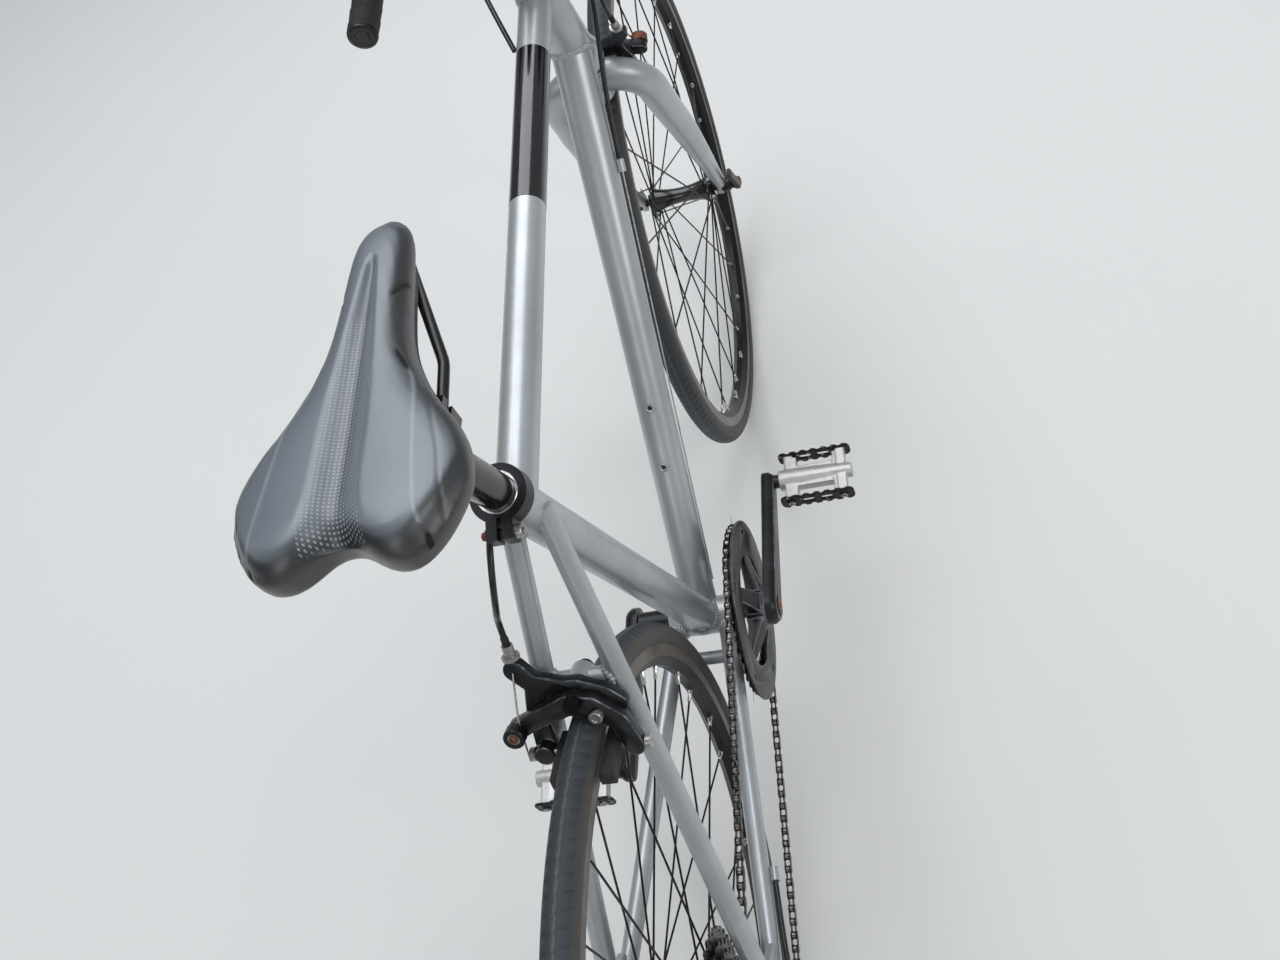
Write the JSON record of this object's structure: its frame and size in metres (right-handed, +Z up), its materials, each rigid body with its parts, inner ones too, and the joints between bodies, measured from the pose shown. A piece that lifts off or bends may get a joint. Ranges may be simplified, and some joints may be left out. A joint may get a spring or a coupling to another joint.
{
  "type": "road bicycle",
  "caption": "Road bicycle with drop handlebar, one chainring with a guard, rear derailleur, wire-spoked wheels and rim brakes.",
  "frame": {"origin": "middle of the saddle's top, where the rider sits", "axes": "+X forward, +Y to the rider's left, +Z up, with the bicycle upright and its steering straight"},
  "size_m": [1.672, 0.442, 0.9925],
  "materials": {
    "frame_paint": "silver metallic paint over aluminium, satin gloss",
    "black_alloy": "black anodised",
    "bare_alloy": "brushed, a little worn",
    "dark_steel": "dark and lightly oiled",
    "bright_steel": "zinc plated with some rust",
    "tyre_rubber": "worn black rubber",
    "brake_rubber": "moulded black rubber",
    "bar_wrap": "black foam bar tape",
    "cable_cover": "black plastic housing",
    "guard_plastic": "black moulded plastic",
    "saddle_cover": "black synthetic leather, satin",
    "lever_alloy": "grey anodised",
    "pedal_body": "worn silver and black"
  },
  "bodies": {
    "frame": {"head_tube": "frame_paint", "top_tube": "frame_paint", "down_tube": "frame_paint", "seat_tube": "frame_paint", "bottom_bracket_shell": "frame_paint", "chain_stays": "frame_paint", "seat_stays": "frame_paint", "brake_bridge": "frame_paint", "rear_dropouts": "frame_paint", "headset_cups": "black_alloy", "bracket_cups": "bare_alloy", "seat_clamp": "black_alloy", "seat_post": "black_alloy", "saddle_rails": "bright_steel", "saddle_shell": "guard_plastic", "saddle": "saddle_cover", "rear_brake_arms": "black_alloy", "rear_brake_pads": "brake_rubber", "rear_brake_bolts": "bright_steel", "rear_brake_housing": "cable_cover", "rear_skewer": "bright_steel", "chain": "dark_steel", "derailleur_body": "black_alloy", "derailleur_cage": "black_alloy", "gear_wire": "bright_steel", "rear_gear_housing": "cable_cover", "bar_to_top_tube_housing": "cable_cover", "bar_to_down_tube_housing": "cable_cover"},
    "steering": {"fork_crown": "frame_paint", "fork_blades": "frame_paint", "headset_spacers": "black_alloy", "stem": "black_alloy", "handlebar": "bare_alloy", "bar_tape": "bar_wrap", "lever_hoods": "brake_rubber", "brake_levers": "lever_alloy", "front_brake_arms": "black_alloy", "front_brake_pads": "brake_rubber", "front_brake_bolts": "bright_steel", "front_brake_housing": "cable_cover", "front_skewer": "bright_steel"},
    "front_wheel": {"front_tyre": "tyre_rubber", "front_rim": "black_alloy", "front_spokes": "dark_steel", "front_hub": "black_alloy"},
    "rear_wheel": {"rear_tyre": "tyre_rubber", "rear_rim": "black_alloy", "rear_spokes": "dark_steel", "rear_hub": "black_alloy", "cassette": "dark_steel"},
    "crankset": {"chainring": "dark_steel", "chain_guard": "guard_plastic", "right_crank": "black_alloy", "left_crank": "black_alloy", "crank_spindle": "bright_steel", "pedal_pins": "bright_steel"},
    "right_pedal": {"right_pedal": "pedal_body"},
    "left_pedal": {"left_pedal": "pedal_body"}
  },
  "joints": [
    {"name": "steering_turn", "type": "hinge", "parent": "frame", "child": "steering", "pos_m": [0.73504, 0, -0.66938], "axis": [-0.3035, 0, 0.9528], "range_deg": [-75, 75], "deforming": ["bar_to_top_tube_housing", "bar_to_down_tube_housing"]},
    {"name": "front_wheel_spin", "type": "hinge", "parent": "steering", "child": "front_wheel", "pos_m": [0.7783, 0, -0.6556], "axis": [0, 1, 0], "continuous": true},
    {"name": "rear_wheel_spin", "type": "hinge", "parent": "frame", "child": "rear_wheel", "pos_m": [-0.2197, 0, -0.6556], "axis": [0, 1, 0], "continuous": true},
    {"name": "crank_spin", "type": "hinge", "parent": "frame", "child": "crankset", "pos_m": [0.182, 0, -0.705], "axis": [0, 1, 0], "continuous": true},
    {"name": "right_pedal_spin", "type": "hinge", "parent": "crankset", "child": "right_pedal", "pos_m": [0.35058, -0.134, -0.72689], "axis": [0, 1, 0], "continuous": true},
    {"name": "left_pedal_spin", "type": "hinge", "parent": "crankset", "child": "left_pedal", "pos_m": [0.01342, 0.134, -0.6831], "axis": [0, 1, 0], "continuous": true}
  ]
}
